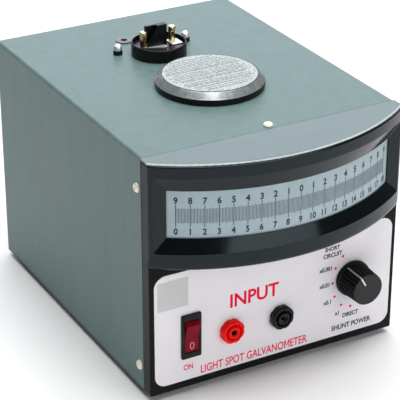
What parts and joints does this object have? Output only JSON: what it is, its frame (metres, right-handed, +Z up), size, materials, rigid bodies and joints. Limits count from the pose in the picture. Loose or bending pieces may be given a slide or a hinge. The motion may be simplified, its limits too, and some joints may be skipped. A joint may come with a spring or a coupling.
{
  "type": "galvanometer",
  "caption": "Mains light-spot mirror galvanometer: steel case, bowed bezel with long curved scale, zero disc, lamp holder, range switch, rocker switch and two input sockets.",
  "frame": {"origin": "on the surface it stands on, at the centre of the overall footprint", "axes": "+X to the right seen from the front, +Y to the back, +Z up; the scale faces -Y"},
  "size_m": [0.2112, 0.306, 0.2143],
  "materials": {
    "case_paint": "grey-green hammered powder coat",
    "rear_paint": "grey-green powder coat",
    "tray_paint": "black powder coat",
    "black_gloss": "glossy moulded black",
    "panel_white": "satin printed white",
    "scale_film": "frosted translucent",
    "steel": "zinc plated",
    "black_plastic": "satin moulded black",
    "rocker_red": "translucent dark red",
    "socket_red": "moulded red",
    "brass": "turned brass",
    "nickel": "nickel plated",
    "pointer_white": "white inlay",
    "phenolic": "phenolic laminate",
    "resistor_body": "lacquered resistor",
    "label_silver": "printed satin foil",
    "cast_alloy": "die-cast",
    "magnet_alloy": "ground alloy",
    "coil_copper": "enamelled copper wire on a frame",
    "mirror_silver": "front-silvered",
    "tube_black": "matt black tube",
    "clear_glass": "clear",
    "core_iron": "varnished laminations",
    "winding": "taped winding",
    "rubber": "moulded rubber",
    "wire": "PVC insulated wire"
  },
  "bodies": {
    "case": {"cover": "case_paint", "chassis": "tray_paint", "rear_panel": "rear_paint", "fascia": "black_gloss", "visor_plate": "case_paint", "front_panel": "panel_white", "scale_screen": "scale_film", "screen_clips": "steel", "switch_body": "black_plastic", "switch_terminals": "brass", "red_socket": "socket_red", "black_socket": "black_plastic", "socket_contacts": "brass", "panel_nuts": "nickel", "range_bush": "brass", "wafer_stator": "phenolic", "wafer_contacts": "brass", "shunt_resistors": "resistor_body", "lamp_holder_base": "black_plastic", "lamp_bracket": "steel", "lamp_tube": "tube_black", "condenser_lens": "clear_glass", "graticule": "clear_glass", "lower_mirror": "mirror_silver", "lower_mirror_bracket": "steel", "front_mirror": "mirror_silver", "front_mirror_bracket": "steel", "transformer_core": "core_iron", "transformer_winding": "winding", "mains_inlet": "black_plastic", "inlet_pins": "brass", "fuse_holder": "black_plastic", "grommet": "rubber", "case_screws": "nickel", "bracket_screws": "nickel", "screw_collars": "black_plastic", "feet": "rubber", "wiring_loom": "wire"},
    "rocker": {"switch_rocker": "rocker_red"},
    "range_control": {"range_knob": "black_plastic", "knob_pointer": "pointer_white", "range_spindle": "steel", "wafer_rotor": "phenolic"},
    "zero_adjuster": {"zero_disc": "black_plastic", "disc_label": "label_silver", "movement_frame": "cast_alloy", "magnet": "magnet_alloy", "pole_pieces": "magnet_alloy", "iron_core": "magnet_alloy", "band_anchors": "brass"},
    "coil": {"moving_coil": "coil_copper", "coil_mirror": "mirror_silver", "suspension_bands": "brass"},
    "lamp_plug": {"lamp_holder_plug": "black_plastic", "lamp_terminals": "brass", "lamp_contact_strips": "nickel", "lamp_cap": "brass", "lamp_bulb": "clear_glass"},
    "fuse_carrier": {"fuse_cap": "black_plastic", "fuse_link": "clear_glass"}
  },
  "joints": [
    {"name": "mains_rocker", "type": "hinge", "parent": "case", "child": "rocker", "pos_m": [-0.071, -0.1165, 0.048], "axis": [-1, 0, 0], "range_deg": [0, 18]},
    {"name": "range_switch", "type": "hinge", "parent": "case", "child": "range_control", "pos_m": [0.0655, -0.1181, 0.0588], "axis": [0, -1, 0], "range_deg": [0, 150]},
    {"name": "zero_adjust", "type": "hinge", "parent": "case", "child": "zero_adjuster", "pos_m": [0, -0.018, 0.1903], "axis": [0, 0, 1], "range_deg": [-20, 20]},
    {"name": "coil_swing", "type": "hinge", "parent": "zero_adjuster", "child": "coil", "pos_m": [0, -0.018, 0.15], "axis": [0, 0, 1], "range_deg": [-20, 20], "stiffness_Nm_per_rad": 0.0001},
    {"name": "lamp_turn", "type": "hinge", "parent": "case", "child": "lamp_plug", "pos_m": [-0.004, 0.0555, 0.1903], "axis": [0, 0, 1], "range_deg": [-25, 25]},
    {"name": "fuse_cap_turn", "type": "hinge", "parent": "case", "child": "fuse_carrier", "pos_m": [-0.024, 0.1411, 0.05], "axis": [0, 1, 0], "range_deg": [-60, 0]}
  ]
}
